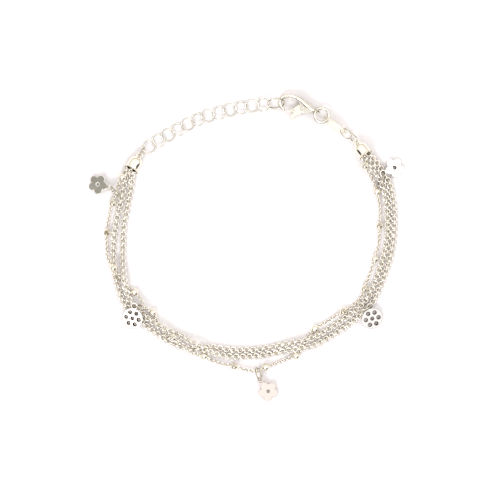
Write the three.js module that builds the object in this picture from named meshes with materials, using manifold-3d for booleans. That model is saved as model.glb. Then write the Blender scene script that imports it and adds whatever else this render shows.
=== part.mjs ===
// A three-strand charm bracelet in silver, laid out flat and closed in one loop.
// Two rolo chains and a beaded cable chain run between two bell caps. A chain of rings and a
// lobster clasp with its tag join the caps, and five charms hang on the beaded chain.
//
// Millimetres, +Z up. The surface that the bracelet lies on is z = 0, and the origin is below
// the middle of the loop. +Y points from the charm at the bottom of the loop to the clasp.

import * as THREE from 'three';
import { mergeVertices } from 'three/addons/utils/BufferGeometryUtils.js';
import Module from 'manifold-3d';

const wasm = await Module();
wasm.setup();

// ---------------------------------------------------------------- driving dimensions

const ROLO_WIDTH = 1.3;            // across one link of the two rolo chains
const CABLE_WIDTH = 0.8;           // across one link of the beaded chain
const BEAD_DIAMETER = 1.8;
const CHAIN_SIDES = 8;
const CABLE_SIDES = 6;
const ROLO_STEPS = 62;
const CABLE_STEPS = 80;

const EXTENDER_RING = { meanRadius: 1.5, wireRadius: 0.15 };
const END_RING = { meanRadius: 1.87, wireRadius: 0.18 };
const SMALL_LINK = { meanRadius: 1.06, wireRadius: 0.18 };
const TAG_LINK = { meanRadius: 1.45, wireRadius: 0.18 };
const CLASP_RING = { meanRadius: 1.66, wireRadius: 0.32 };
const CHARM_RING_WIRE = 0.2;       // wire radius of the charms' jump rings
const RING_CLEARANCE = 0.08;       // round a jump ring where it passes through a chain

const CAP = {
  length: 3.9, domeLength: 1.6, neckRadius: 1.6, mouthRadius: 1.88, wall: 0.25,
  loopRadius: 0.6, loopWire: 0.19, loopReach: 0.35,
};

const TAG = { length: 6.3, width: 2.5, thickness: 0.5, holeRadius: 0.6, holeInset: 0.95 };

const CHARM = {
  thickness: 0.5, eyeHoleRadius: 0.5, eyeRadius: 0.85, neckHalfWidth: 0.45, centreHoleRadius: 0.5,
};
const DISC = { radius: 2.4, eyeReach: 3.0, holeCircle: 1.55, holeRadius: 0.36, holes: 6 };
const FLOWER = { petals: 5, petalCircle: 1.25, petalRadius: 1.05, eyeReach: 3.1 };

const CLASP_THICKNESS = 2.6;
const CLASP_SLOT = 1.3;            // the slot between the cheeks that the lever turns in
const LEVER_THICKNESS = 1.0;
const HOOK_RADIUS = 0.43;
const GATE_RADIUS = 0.36;
const PIN_RADIUS = 0.3;
const PIN_CLEARANCE = 0.1;
const PIN_SEAT = 0.2;              // how deep each end of the pin sits in its cheek
const HUB_RADIUS = 0.68;
const CLASP_EYE = { meanRadius: 0.8, wireRadius: 0.25 };

const SILVER = { color: 0xe6e2da, roughness: 0.2, metalness: 1 };
const CHAIN_SILVER = { color: 0xd9d2c4, roughness: 0.3, metalness: 1 };

// ---------------------------------------------------------------- routes and places

// The rolo chain that lies inside on the left and outside at the bottom and on the right,
// from the left cap to the right one.
const INNER_OUTER_ROUTE = [
  // x, y, z
  [-25.3, 18.05, 1.68], [-26.0, 16.95, 1.65], [-26.15, 15.6, 1.05], [-26.3, 13.8, 0.7],
  [-26.9, 10.5, 0.7], [-27.6, 7.0, 0.7], [-28.1, 3.5, 0.7], [-28.2, 0.0, 0.7],
  [-28.2, -3.0, 0.8], [-28.05, -5.6, 1.3], [-27.75, -8.3, 1.75], [-27.15, -10.8, 1.3],
  [-26.1, -13.0, 0.75], [-23.6, -15.4, 0.8], [-21.5, -17.1, 1.3], [-19.6, -18.1, 1.75],
  [-17.4, -19.2, 1.4], [-15.2, -20.2, 1.0], [-12.8, -21.6, 1.6], [-10.0, -23.1, 2.2],
  [-7.4, -24.4, 1.6], [-4.6, -25.0, 0.8], [-1.3, -25.2, 0.7], [2.2, -25.1, 0.7],
  [5.6, -24.6, 0.7], [9.0, -23.9, 1.0], [12.6, -23.2, 1.6], [15.6, -22.6, 1.2],
  [18.6, -21.1, 0.75], [22.0, -19.0, 0.7], [25.3, -16.6, 0.7], [27.8, -14.3, 0.7],
  [29.5, -12.2, 0.7], [30.9, -9.3, 0.7], [31.9, -6.6, 0.7], [32.9, -3.6, 0.7],
  [33.7, -0.3, 0.7], [34.1, 3.5, 0.7], [34.1, 7.5, 0.7], [33.8, 11.0, 0.7],
  [33.1, 14.4, 0.7], [31.9, 16.8, 0.75], [30.2, 19.3, 1.0], [28.6, 21.0, 1.6],
  [27.7, 22.2, 1.65],
];

// Its twin, outside on the left and inside on the right. The two cross once, at the bottom left.
const OUTER_INNER_ROUTE = [
  // x, y, z
  [-26.5, 18.75, 1.68], [-27.15, 17.65, 1.6], [-27.6, 16.2, 1.0], [-28.0, 14.2, 0.7],
  [-28.5, 11.2, 0.7], [-29.2, 8.3, 0.7], [-29.9, 4.6, 0.7], [-30.3, 1.2, 0.7],
  [-30.4, -2.4, 0.7], [-30.2, -5.8, 0.7], [-29.4, -9.0, 0.7], [-28.5, -11.8, 0.7],
  [-27.2, -14.0, 0.7], [-24.8, -16.4, 0.7], [-22.6, -18.3, 0.7], [-20.2, -20.0, 0.7],
  [-17.6, -21.7, 0.7], [-14.6, -23.0, 0.7], [-12.3, -23.5, 0.7], [-10.4, -23.3, 0.7],
  [-8.2, -23.0, 0.7], [-5.4, -23.3, 0.7], [-1.3, -23.7, 0.7], [2.2, -23.6, 0.7],
  [5.6, -23.1, 0.7], [8.8, -22.4, 1.0], [11.8, -21.8, 1.6], [14.2, -21.3, 1.6],
  [16.2, -20.5, 1.1], [18.4, -19.3, 0.7], [21.2, -17.5, 0.7], [24.2, -15.4, 0.7],
  [26.6, -13.3, 0.7], [28.2, -11.3, 0.7], [29.4, -8.9, 0.7], [30.4, -6.2, 0.7],
  [31.4, -3.2, 0.7], [32.2, 0.0, 0.7], [32.6, 3.5, 0.7], [32.6, 7.5, 0.7],
  [32.3, 10.8, 0.75], [31.8, 13.4, 1.0], [31.0, 15.5, 1.2], [29.8, 17.4, 0.95],
  [28.5, 18.9, 1.1], [27.4, 20.2, 1.6], [26.5, 21.4, 1.65],
];

// The fine cable chain and its soldered beads. The last column marks the rows that carry one.
const BEADED_ROUTE = [
  // x, y, z, bead
  [-25.95, 18.35, 2.72, 0], [-26.85, 17.0, 2.8, 0], [-28.3, 16.0, 2.45, 1], [-29.3, 14.2, 1.3, 0],
  [-29.65, 12.4, 1.0, 0], [-30.6, 10.1, 0.95, 1], [-31.3, 7.4, 0.6, 0], [-31.9, 3.3, 0.95, 1],
  [-31.9, -0.2, 0.6, 0], [-31.6, -2.6, 1.5, 0], [-30.3, -4.7, 2.4, 1], [-29.2, -6.5, 1.4, 0],
  [-28.0, -8.1, 0.45, 0], [-26.8, -9.3, 0.5, 0], [-25.5, -10.4, 0.95, 1],
  [-24.4, -11.4, 1.2, 0], [-23.7, -12.7, 1.3, 0], [-23.0, -13.9, 1.3, 0],
  [-21.3, -15.0, 0.95, 1], [-20.4, -16.8, 0.5, 0], [-19.5, -18.5, 0.45, 0],
  [-18.4, -20.0, 1.0, 0], [-16.7, -20.9, 2.1, 1], [-14.6, -22.3, 2.0, 0],
  [-12.2, -24.3, 1.7, 0], [-9.5, -25.0, 0.95, 1], [-7.7, -26.1, 0.6, 0],
  [-5.4, -26.8, 0.6, 0], [-2.6, -27.4, 0.95, 1], [0.0, -28.2, 1.0, 0], [2.6, -28.5, 1.1, 0],
  [4.6, -27.6, 0.95, 1], [7.2, -26.7, 0.6, 0], [9.8, -25.6, 0.6, 0], [11.6, -25.0, 0.95, 1],
  [12.9, -23.5, 0.5, 0], [13.8, -21.9, 0.45, 0], [14.7, -20.2, 0.5, 0], [15.9, -18.8, 0.95, 1],
  [19.0, -16.9, 0.6, 0], [22.5, -14.7, 0.95, 1], [24.2, -13.8, 0.55, 0], [25.7, -12.5, 0.55, 0],
  [26.65, -11.2, 0.6, 0], [27.3, -9.6, 0.95, 1], [28.4, -6.6, 0.6, 0], [29.7, -2.7, 0.95, 1],
  [30.6, 1.0, 0.6, 0], [30.8, 4.9, 0.95, 1], [30.9, 9.0, 0.6, 0], [30.2, 12.7, 0.95, 1],
  [29.5, 14.8, 0.5, 0], [28.5, 16.8, 1.2, 0], [27.4, 18.6, 2.4, 1], [27.7, 20.2, 2.75, 0],
  [27.1, 21.8, 2.7, 0],
];

// The rings of the extension chain, from the left cap to the clasp. roll turns a ring about
// the line of the chain and pitch lifts its far end, both in degrees.
const EXTENDER_RINGS = [
  // x, y, z, roll, pitch
  [-22.15, 23.0, 0.88, 18, -10], [-20.0, 24.45, 0.66, -18, 0], [-17.8, 25.75, 0.66, 18, 0],
  [-15.55, 27.0, 0.68, -20, 0], [-13.3, 28.2, 0.78, 24, 0], [-11.0, 29.3, 0.78, -24, 0],
  [-8.6, 30.15, 0.68, 20, 0], [-6.1, 30.85, 0.66, -18, 0], [-3.6, 31.5, 0.66, 18, 0],
  [-1.1, 32.05, 0.66, -18, 0], [1.5, 32.45, 0.7, 20, 3], [4.06, 32.72, 1.0, -10, 14],
];
const END_RING_PLACE = { x: 7.0, y: 32.95, z: 1.75, roll: 55, pitch: 0, heading: 4 };

const LEFT_CAP = { x: -24.5, y: 20.7, z: 1.9, heading: 58.7 };    // apex, and where it points
const RIGHT_CAP = { x: 25.6, y: 23.8, z: 1.9, heading: 126.9 };
const LEFT_LINK = { x: -23.7, y: 21.85, z: 1.55, heading: 54, roll: 80, pitch: -22 };
const RIGHT_LINK = { x: 24.8, y: 24.9, z: 1.55, heading: -52, roll: 60, pitch: 17 };
const TAG_LINK_PLACE = { x: 23.2, y: 26.12, z: 1.38, heading: -41, roll: -50, pitch: 0 };
const TAG_PLACE = { x: 20.5, y: 27.95, z: 1.4, heading: -36, roll: 62 };
const CLASP_RING_PLACE = { x: 17.5, y: 30.3, z: 1.35 };
const CLASP_PLACE = { x: 10.05, y: 33.2 };                  // the middle of the hook's opening

// Each charm: the middle of its plate, the way its eye points, how steeply the plate leans and
// towards where it rises, and then its jump ring. Angles in degrees.
const CHARMS = [
  {
    name: 'left_flower', plate: 'flower', x: -33.9, y: 14.4, z: 0.9, heading: -15, tilt: 14, rise: 5,
    ring: { x: -30.0, y: 12.6, z: 1.6, heading: -46, roll: 76, pitch: 0, meanRadius: 1.4 },
  },
  {
    name: 'left_disc', plate: 'disc', x: -25.9, y: -16.3, z: 1.5, heading: 79, tilt: 23, rise: 43,
    ring: { x: -24.05, y: -13.7, z: 1.82, heading: -12, roll: -76, pitch: -20, meanRadius: 1.5 },
  },
  {
    name: 'bottom_flower', plate: 'flower', x: 5.2, y: -33.1, z: 0.9, heading: 124, tilt: 13.5,
    rise: 124,
    ring: { x: 3.05, y: -29.15, z: 1.65, heading: 108, roll: 70, pitch: 0, meanRadius: 1.5 },
  },
  {
    name: 'right_disc', plate: 'disc', x: 29.05, y: -16.4, z: 1.1, heading: 101, tilt: 17.5,
    rise: 134,
    ring: { x: 27.0, y: -14.05, z: 1.75, heading: 200, roll: 70, pitch: 0, meanRadius: 1.6 },
  },
  {
    name: 'right_flower', plate: 'flower', x: 34.2, y: 18.2, z: 1.0, heading: 206, tilt: 16.5,
    rise: 206,
    ring: { x: 31.07, y: 15.5, z: 1.65, heading: 253, roll: 70, pitch: -7, meanRadius: 1.5 },
  },
];

// The clasp, in its own frame: the middle of the hook's opening is the origin, and +X points
// to the tail.
const HOOK_ROUTE = [
  // x, y
  [2.3, 0.6], [1.4, 1.22], [0.0, 1.58], [-1.4, 1.24], [-2.15, 0.14], [-2.0, -0.8], [-1.35, -1.6],
];
const GATE_ROUTE = [
  // x, y
  [2.6, -0.6], [1.7, -1.1], [0.9, -1.75], [0.1, -2.0], [-0.55, -1.95],
];
const CHEEK_OUTLINE = [
  // x, y
  [1.75, 1.15], [1.9, 0.3], [2.3, -0.2], [2.45, -1.9], [3.2, -2.6], [4.4, -2.65],
  [5.5, -2.15], [5.75, -1.5], [5.5, -1.0], [4.6, -0.25], [3.6, 0.5], [2.6, 1.15],
];
const SLOT_OUTLINE = [
  // x, y
  [1.0, 0.35], [2.8, 0.35], [3.95, -0.2], [4.2, -1.15], [3.9, -2.0], [3.6, -3.2], [1.0, -3.2],
];
const THUMB_TAB_OUTLINE = [
  // x, y
  [3.2, -0.6], [2.3, -0.35], [1.5, -1.0], [1.1, -2.0], [0.7, -2.7], [0.05, -3.1],
  [0.1, -3.5], [0.45, -4.0], [0.95, -3.75], [1.7, -3.1], [2.6, -2.75], [3.3, -1.8],
];
const CLASP_PIN = { x: 3.3, y: -1.15 };
const TAIL_EYE = { x: 6.1, y: -1.75 };
const TAIL_ANGLE = -30;                                     // the way the tail points, degrees

const degrees = THREE.MathUtils.degToRad;

// ---------------------------------------------------------------- solids

/** A manifold solid from a closed three.js geometry. */
function solid(geometry) {
  const bare = geometry.clone();
  bare.deleteAttribute('normal');
  bare.deleteAttribute('uv');
  const merged = mergeVertices(bare, 1e-4);
  return new wasm.Manifold(new wasm.Mesh({
    numProp: 3,
    vertProperties: new Float32Array(merged.attributes.position.array),
    triVerts: new Uint32Array(merged.index.array),
  }));
}

/** A three.js geometry from a manifold solid. */
function geometryOf(manifold) {
  const mesh = manifold.getMesh();
  const geometry = new THREE.BufferGeometry();
  geometry.setAttribute('position', new THREE.BufferAttribute(mesh.vertProperties, 3));
  geometry.setIndex(new THREE.BufferAttribute(mesh.triVerts, 1));
  geometry.computeVertexNormals();
  return geometry;
}

/** Solids joined into one. */
function joined(first, ...others) {
  return others.reduce((sum, other) => sum.add(other), first);
}

/** A named mesh with a material of its own. */
function part(name, geometry, finish = SILVER) {
  const mesh = new THREE.Mesh(geometry, new THREE.MeshStandardMaterial(finish));
  mesh.name = name;
  return mesh;
}

/** A regular polygon as a closed shape, for the section of a chain or rod. */
function sectionOf(radius, sides) {
  const corners = [...Array(sides).keys()].map((corner) => {
    const angle = ((corner + 0.5) / sides) * 2 * Math.PI;
    return new THREE.Vector2(radius * Math.cos(angle), radius * Math.sin(angle));
  });
  return new THREE.Shape(corners);
}

/** A rod with a round section along a smooth curve through the rows. */
function rodAlong(rows, radius, sides, steps) {
  const points = rows.map(([x, y, z = 0]) => new THREE.Vector3(x, y, z));
  const extrudePath = new THREE.CatmullRomCurve3(points);
  return new THREE.ExtrudeGeometry(sectionOf(radius, sides), { extrudePath, steps });
}

/** A plate with its outline in XY and its thickness centred on z = 0. */
function plate(outline, thickness, curveSegments = 6) {
  const geometry = new THREE.ExtrudeGeometry(outline, {
    depth: thickness, bevelEnabled: false, curveSegments,
  });
  return geometry.translate(0, 0, -thickness / 2);
}

/** A closed outline through [x, y] rows, with straight sides. */
function outlineOf(rows) {
  return new THREE.Shape(rows.map(([x, y]) => new THREE.Vector2(x, y)));
}

/** A round outline. */
function roundOutline(x, y, radius) {
  const shape = new THREE.Shape();
  shape.absarc(x, y, radius, 0, 2 * Math.PI);
  return shape;
}

/** A ring lying in XY round the origin. */
function ringGeometry({ meanRadius, wireRadius }, wireSides = 6, sides = 16) {
  return new THREE.TorusGeometry(meanRadius, wireRadius, wireSides, sides);
}

/** A ring as a mesh: heading is its long axis in plan, roll and pitch turn it out of flat. */
function ring(name, size, { x, y, z, heading = 0, roll = 0, pitch = 0 }) {
  const mesh = part(name, ringGeometry(size));
  mesh.position.set(x, y, z);
  mesh.rotation.set(degrees(roll), degrees(-pitch), degrees(heading), 'ZYX');
  return mesh;
}

// ---------------------------------------------------------------- the three chains

/** One rolo chain as a tube along its route, with way for the jump rings that hang on it. */
function roloChain(name, route, ways) {
  const tube = solid(rodAlong(route, ROLO_WIDTH / 2, CHAIN_SIDES, ROLO_STEPS));
  const open = ways.reduce((left, way) => left.subtract(way), tube);
  return part(name, geometryOf(open), CHAIN_SILVER);
}

/** The cable chain as a tube, with its beads joined on. */
function beadedChain(ways) {
  const tube = solid(rodAlong(BEADED_ROUTE, CABLE_WIDTH / 2, CABLE_SIDES, CABLE_STEPS));
  const beads = BEADED_ROUTE.filter((row) => row[3] === 1).map(([x, y, z]) => {
    const bead = new THREE.IcosahedronGeometry(BEAD_DIAMETER / 2, 1);
    return solid(bead.translate(x, y, z));
  });
  const open = ways.reduce((left, way) => left.subtract(way), joined(tube, ...beads));
  return part('beaded_chain', geometryOf(open), CHAIN_SILVER);
}

// ---------------------------------------------------------------- end caps and links

/** The cap's radius at a distance from its apex: a round dome, then a slow flare. */
function capRadius(distance) {
  const { length, domeLength, neckRadius, mouthRadius } = CAP;
  if (distance < domeLength) {
    const rise = 1 - distance / domeLength;
    return neckRadius * Math.sqrt(1 - rise * rise);
  }
  const share = (distance - domeLength) / (length - domeLength);
  return neckRadius + (mouthRadius - neckRadius) * share;
}

/** A hollow bell with a loop on its apex. The apex is at the origin and points along +X. */
function capSolid() {
  const { length, wall, loopRadius, loopWire, loopReach } = CAP;
  const outside = [0, 0.08, 0.22, 0.45, 1].map((share) => share * length);
  const inside = [1, 0.45, 0.24, 0.1].map((share) => share * length);
  const profile = [
    ...outside.map((along) => new THREE.Vector2(capRadius(along), -along)),
    ...inside.map((along) => new THREE.Vector2(capRadius(along) - wall, -along)),
    new THREE.Vector2(0, -inside[inside.length - 1]),
  ];
  const bell = new THREE.LatheGeometry(profile.reverse(), 18).rotateZ(-Math.PI / 2);
  const loop = ringGeometry({ meanRadius: loopRadius, wireRadius: loopWire }, 6, 14);
  return joined(solid(bell), solid(loop.translate(loopReach, 0, 0)));
}

/** A cap in its place. */
function cap(name, { x, y, z, heading }) {
  const mesh = part(name, geometryOf(capSolid()));
  mesh.position.set(x, y, z);
  mesh.rotation.z = degrees(heading);
  return mesh;
}

/** The oval tag, with a hole near each end. */
function tag() {
  const { length, width, thickness, holeRadius, holeInset } = TAG;
  const outline = new THREE.Shape();
  outline.absellipse(0, 0, length / 2, width / 2, 0, 2 * Math.PI);
  [-1, 1].forEach((side) => {
    const hole = new THREE.Path();
    hole.absarc(side * (length / 2 - holeInset), 0, holeRadius, 0, 2 * Math.PI, true);
    outline.holes.push(hole);
  });
  const mesh = part('oval_tag', plate(outline, thickness, 12));
  mesh.position.set(TAG_PLACE.x, TAG_PLACE.y, TAG_PLACE.z);
  mesh.rotation.set(degrees(TAG_PLACE.roll), 0, degrees(TAG_PLACE.heading), 'ZYX');
  return mesh;
}

// ---------------------------------------------------------------- the lobster clasp

/** The clasp's body: hook, spine, two cheeks with the pin between them, and the tail's eye. */
function claspBody() {
  const hook = solid(rodAlong(HOOK_ROUTE, HOOK_RADIUS, 8, 18));
  const block = solid(plate(outlineOf(CHEEK_OUTLINE), CLASP_THICKNESS));
  const slot = solid(plate(outlineOf(SLOT_OUTLINE), CLASP_SLOT));
  const pinLength = CLASP_SLOT + 2 * PIN_SEAT;
  const pin = solid(plate(roundOutline(CLASP_PIN.x, CLASP_PIN.y, PIN_RADIUS), pinLength));
  const eye = ringGeometry(CLASP_EYE, 6, 16).rotateX(Math.PI / 2);
  eye.rotateZ(degrees(TAIL_ANGLE)).translate(TAIL_EYE.x, TAIL_EYE.y, 0);
  return joined(hook, block.subtract(slot), pin, solid(eye));
}

/** The lever: the gate that closes the hook, the hub round the pin, and the thumb tab. */
function claspLever() {
  const gate = solid(rodAlong(GATE_ROUTE, GATE_RADIUS, 8, 12));
  const hub = solid(plate(roundOutline(CLASP_PIN.x, CLASP_PIN.y, HUB_RADIUS), LEVER_THICKNESS));
  const tab = solid(plate(outlineOf(THUMB_TAB_OUTLINE), LEVER_THICKNESS));
  const bore = roundOutline(CLASP_PIN.x, CLASP_PIN.y, PIN_RADIUS + PIN_CLEARANCE);
  return joined(gate, hub, tab).subtract(solid(plate(bore, CLASP_THICKNESS)));
}

/** Both pieces of the clasp, with the body's lower face on the surface. */
function clasp() {
  const group = new THREE.Group();
  group.position.set(CLASP_PLACE.x, CLASP_PLACE.y, CLASP_THICKNESS / 2);
  group.add(part('clasp_body', geometryOf(claspBody())));
  group.add(part('clasp_lever', geometryOf(claspLever())));
  return group;
}

// ---------------------------------------------------------------- charms

/** The outline of a charm's eye, reaching back to the middle of its plate. */
function eyeOutline(reach) {
  const { eyeRadius, neckHalfWidth } = CHARM;
  const neckAngle = Math.PI - Math.asin(neckHalfWidth / eyeRadius);
  const shape = new THREE.Shape();
  shape.moveTo(0, -neckHalfWidth);
  shape.absarc(reach, 0, eyeRadius, -neckAngle, neckAngle);
  shape.lineTo(0, neckHalfWidth);
  return shape;
}

/** A charm's plate with its eye along +X and its holes cut through. */
function pierced(plates, reach, holes) {
  const body = joined(...plates.map((shape) => solid(plate(shape, CHARM.thickness))));
  const eye = solid(plate(eyeOutline(reach), CHARM.thickness));
  const cuts = [...holes, [reach, 0, CHARM.eyeHoleRadius]].map(([x, y, radius]) => (
    solid(plate(roundOutline(x, y, radius), CHARM.thickness * 2))
  ));
  return cuts.reduce((left, cut) => left.subtract(cut), joined(body, eye));
}

/** A round plate with a ring of holes about a middle one. */
function discCharm() {
  const { radius, eyeReach, holeCircle, holeRadius, holes } = DISC;
  const around = [...Array(holes).keys()].map((hole) => {
    const angle = ((hole + 0.5) / holes) * 2 * Math.PI;
    return [holeCircle * Math.cos(angle), holeCircle * Math.sin(angle), holeRadius];
  });
  const rim = roundOutline(0, 0, radius);
  return pierced([rim], eyeReach, [[0, 0, CHARM.centreHoleRadius], ...around]);
}

/** A plain flower with round petals and a hole in the middle. */
function flowerCharm() {
  const { petals, petalCircle, petalRadius, eyeReach } = FLOWER;
  const leaves = [...Array(petals).keys()].map((petal) => {
    const angle = (petal / petals) * 2 * Math.PI;
    return roundOutline(petalCircle * Math.cos(angle), petalCircle * Math.sin(angle), petalRadius);
  });
  return pierced(leaves, eyeReach, [[0, 0, CHARM.centreHoleRadius]]);
}

/** A charm in its place. */
function charm({ name, plate: kind, x, y, z, heading, tilt, rise }) {
  const make = { disc: discCharm, flower: flowerCharm }[kind];
  const mesh = part(`${name}_charm`, geometryOf(make()));
  const slope = new THREE.Vector3(Math.sin(degrees(rise)), -Math.cos(degrees(rise)), 0);
  const upright = new THREE.Vector3(0, 0, 1);
  const turn = new THREE.Quaternion().setFromAxisAngle(upright, degrees(heading));
  mesh.quaternion.setFromAxisAngle(slope, degrees(tilt)).multiply(turn);
  mesh.position.set(x, y, z);
  return mesh;
}

/** The jump ring of a charm. */
function charmRing({ name, ring: place }) {
  const size = { meanRadius: place.meanRadius, wireRadius: CHARM_RING_WIRE };
  return ring(`${name}_jump_ring`, size, place);
}

/** The space that a charm's jump ring needs. */
function ringWay(row) {
  const size = {
    meanRadius: row.ring.meanRadius, wireRadius: CHARM_RING_WIRE + RING_CLEARANCE,
  };
  const mesh = ring('way', size, row.ring);
  mesh.updateMatrix();
  return solid(mesh.geometry.applyMatrix4(mesh.matrix));
}

// ---------------------------------------------------------------- the bracelet

/** Every ring of the extension chain, each heading along the line through its neighbours. */
function extenderRings() {
  return EXTENDER_RINGS.map(([x, y, z, roll, pitch], index) => {
    const before = EXTENDER_RINGS[Math.max(index - 1, 0)];
    const after = EXTENDER_RINGS[Math.min(index + 1, EXTENDER_RINGS.length - 1)];
    const heading = THREE.MathUtils.radToDeg(Math.atan2(after[1] - before[1], after[0] - before[0]));
    const name = `extender_ring_${String(index + 1).padStart(2, '0')}`;
    return ring(name, EXTENDER_RING, { x, y, z, heading, roll, pitch });
  });
}

const ringWays = CHARMS.map(ringWay);
const bracelet = new THREE.Group();
bracelet.add(
  roloChain('rolo_chain_a', INNER_OUTER_ROUTE, ringWays),
  roloChain('rolo_chain_b', OUTER_INNER_ROUTE, ringWays),
  beadedChain(ringWays),
  cap('left_end_cap', LEFT_CAP),
  cap('right_end_cap', RIGHT_CAP),
  ring('left_cap_link', SMALL_LINK, LEFT_LINK),
  ...extenderRings(),
  ring('end_ring', END_RING, END_RING_PLACE),
  clasp(),
  ring('clasp_jump_ring', CLASP_RING, CLASP_RING_PLACE),
  tag(),
  ring('tag_link', TAG_LINK, TAG_LINK_PLACE),
  ring('right_cap_link', SMALL_LINK, RIGHT_LINK),
  ...CHARMS.map(charm),
  ...CHARMS.map(charmRing),
);

export default bracelet;
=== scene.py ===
# %% [markdown]
# # A three-strand silver charm bracelet
# The bracelet lies flat on a pale surface, closed in one loop. Two rolo chains and a fine cable
# chain with soldered beads run side by side between two bell caps. An extension chain of plain
# rings and a lobster clasp join the caps, and five small charms hang from the chains.
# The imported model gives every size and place. This lesson replaces its plain solids with real
# links, rings and cast silver, piece by piece.

import bmesh
import bpy
import numpy as np
from mathutils.geometry import delaunay_2d_cdt
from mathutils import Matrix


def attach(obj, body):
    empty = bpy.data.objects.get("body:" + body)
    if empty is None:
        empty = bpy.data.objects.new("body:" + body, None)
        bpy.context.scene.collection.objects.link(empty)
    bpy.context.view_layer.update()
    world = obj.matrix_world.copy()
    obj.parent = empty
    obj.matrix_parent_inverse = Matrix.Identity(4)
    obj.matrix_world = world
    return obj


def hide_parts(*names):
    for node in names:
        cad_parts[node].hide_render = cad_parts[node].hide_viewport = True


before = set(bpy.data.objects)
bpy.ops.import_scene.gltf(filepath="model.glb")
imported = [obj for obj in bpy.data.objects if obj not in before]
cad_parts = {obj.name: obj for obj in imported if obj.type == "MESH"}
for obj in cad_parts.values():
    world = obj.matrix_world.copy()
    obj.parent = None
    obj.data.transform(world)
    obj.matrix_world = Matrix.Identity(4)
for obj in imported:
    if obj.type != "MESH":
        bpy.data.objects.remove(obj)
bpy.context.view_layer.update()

# %% [markdown]
# ## Camera
# Small jewellery is laid on a white board and seen from straight above. A long lens from about
# a metre away keeps every ring round, with hardly any perspective.

# %% Camera
MM = 0.001
VIEW_WIDTH = 110.4                   # mm across the picture
CAMERA_HEIGHT = 900.0                # mm
camera_data = bpy.data.cameras.new("overhead_camera")
camera_data.sensor_width = 36.0
camera_data.lens = camera_data.sensor_width * CAMERA_HEIGHT / VIEW_WIDTH
camera_data.clip_start = 0.01
camera = bpy.data.objects.new("overhead_camera", camera_data)
camera.location = (-1.27 * MM, 1.61 * MM, CAMERA_HEIGHT * MM)
scene = bpy.context.scene
scene.collection.objects.link(camera)
scene.camera = camera
print("lens:", round(camera_data.lens, 1), "mm")

# %% [markdown]
# ## Colours and nodes
# Hex colours are sRGB, as a paint chart gives them, and Blender's sockets want linear light.
# Every material below is a short chain of nodes, so one helper adds a node, sets its own
# properties, and fills each of its sockets with a value or with a link.

# %% Colours and nodes
def linear(hex_colour):
    """An sRGB hex colour as linear RGBA. A dark channel c is c / 12.92, and any other is
    ((c + 0.055) / 1.055) to the power 2.4."""
    srgb = np.array([int(hex_colour[i:i + 2], 16) for i in (1, 3, 5)]) / 255
    rgb = np.where(srgb <= 0.04045, srgb / 12.92, ((srgb + 0.055) / 1.055) ** 2.4)
    return (*rgb.tolist(), 1.0)


def add_node(tree, kind, inputs=None, stops=(), **settings):
    """Adds a node. settings are its own properties. inputs fills its sockets, by name or
    number, with a value or with the output to link from. stops are a ramp's (place, colour)."""
    node = tree.nodes.new(kind)
    for key, value in settings.items():
        setattr(node, key, value)
    for key, value in (inputs or {}).items():
        if isinstance(value, bpy.types.NodeSocket):
            tree.links.new(value, node.inputs[key])
        else:
            node.inputs[key].default_value = value
    for count, (place, colour) in enumerate(stops):
        if count >= len(node.color_ramp.elements):
            node.color_ramp.elements.new(1.0)
        node.color_ramp.elements[count].position = place
        node.color_ramp.elements[count].color = linear(colour)
    return node


MIX_FACTOR, MIX_A, MIX_B, MIX_RESULT = 0, 6, 7, 2    # the colour sockets of a Mix node
print("linear mid grey:", np.round(linear("#808080"), 3))

# %% [markdown]
# ## Floor and light
# Polished silver has hardly any colour of its own: it shows its surroundings, so the room
# matters as much as the metal. Here the room is a white tent. It is warm and dim low round the
# horizon, and its two front corners gape a little and show the dark room behind. Thin wire mirrors
# them as the dark lines that give it its shape, and each bell cap as a dark band on its front
# flank. A soft light hangs in front on the left, so that short shadows fall away behind, and a
# weaker, wider one on the right lifts the far flanks.

# %% White tent
TENT_STRENGTH = 1.14
GAPE_STARTS, GAPE_DARK = 0.18, 0.34  # how deep in a corner the gape starts, and is all dark
DARK_ROOM = "#2E261A"
world = bpy.data.worlds.new("white_tent")
scene.world = world
world.use_nodes = True
tent = world.node_tree
tent.nodes.clear()
towards = add_node(tent, "ShaderNodeTexCoord").outputs["Generated"]
way = add_node(tent, "ShaderNodeSeparateXYZ", {"Vector": towards}).outputs
# The walls' colour follows the sine of the height above the horizon.
walls = add_node(tent, "ShaderNodeValToRGB", {"Fac": way["Z"]}, stops=[
    (0.0, "#D8CFC0"), (0.15, "#C8BDAA"), (0.45, "#F4F0EA"), (0.7, "#FFFFFF")])
# Depth in a corner is |x| times the forward part of y: 0 in mid wall, 0.5 at a corner's foot.
front = add_node(tent, "ShaderNodeMath", {0: way["Y"], 1: 0.0}, operation="MINIMUM").outputs[0]
diagonal = add_node(tent, "ShaderNodeMath", {0: way["X"], 1: front},
                    operation="MULTIPLY").outputs[0]
corner = add_node(tent, "ShaderNodeMath", {0: diagonal}, operation="ABSOLUTE").outputs[0]
gape = add_node(tent, "ShaderNodeMapRange", {
    "Value": corner, "From Min": GAPE_STARTS, "From Max": GAPE_DARK,
}, interpolation_type="SMOOTHSTEP")
lining = add_node(tent, "ShaderNodeMix", {
    MIX_FACTOR: gape.outputs["Result"], MIX_A: walls.outputs["Color"], MIX_B: linear(DARK_ROOM),
}, data_type="RGBA")
glow = add_node(tent, "ShaderNodeBackground", {
    "Color": lining.outputs[MIX_RESULT], "Strength": TENT_STRENGTH})
add_node(tent, "ShaderNodeOutputWorld", {"Surface": glow.outputs["Background"]})
scene.view_settings.view_transform = "Standard"


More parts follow.
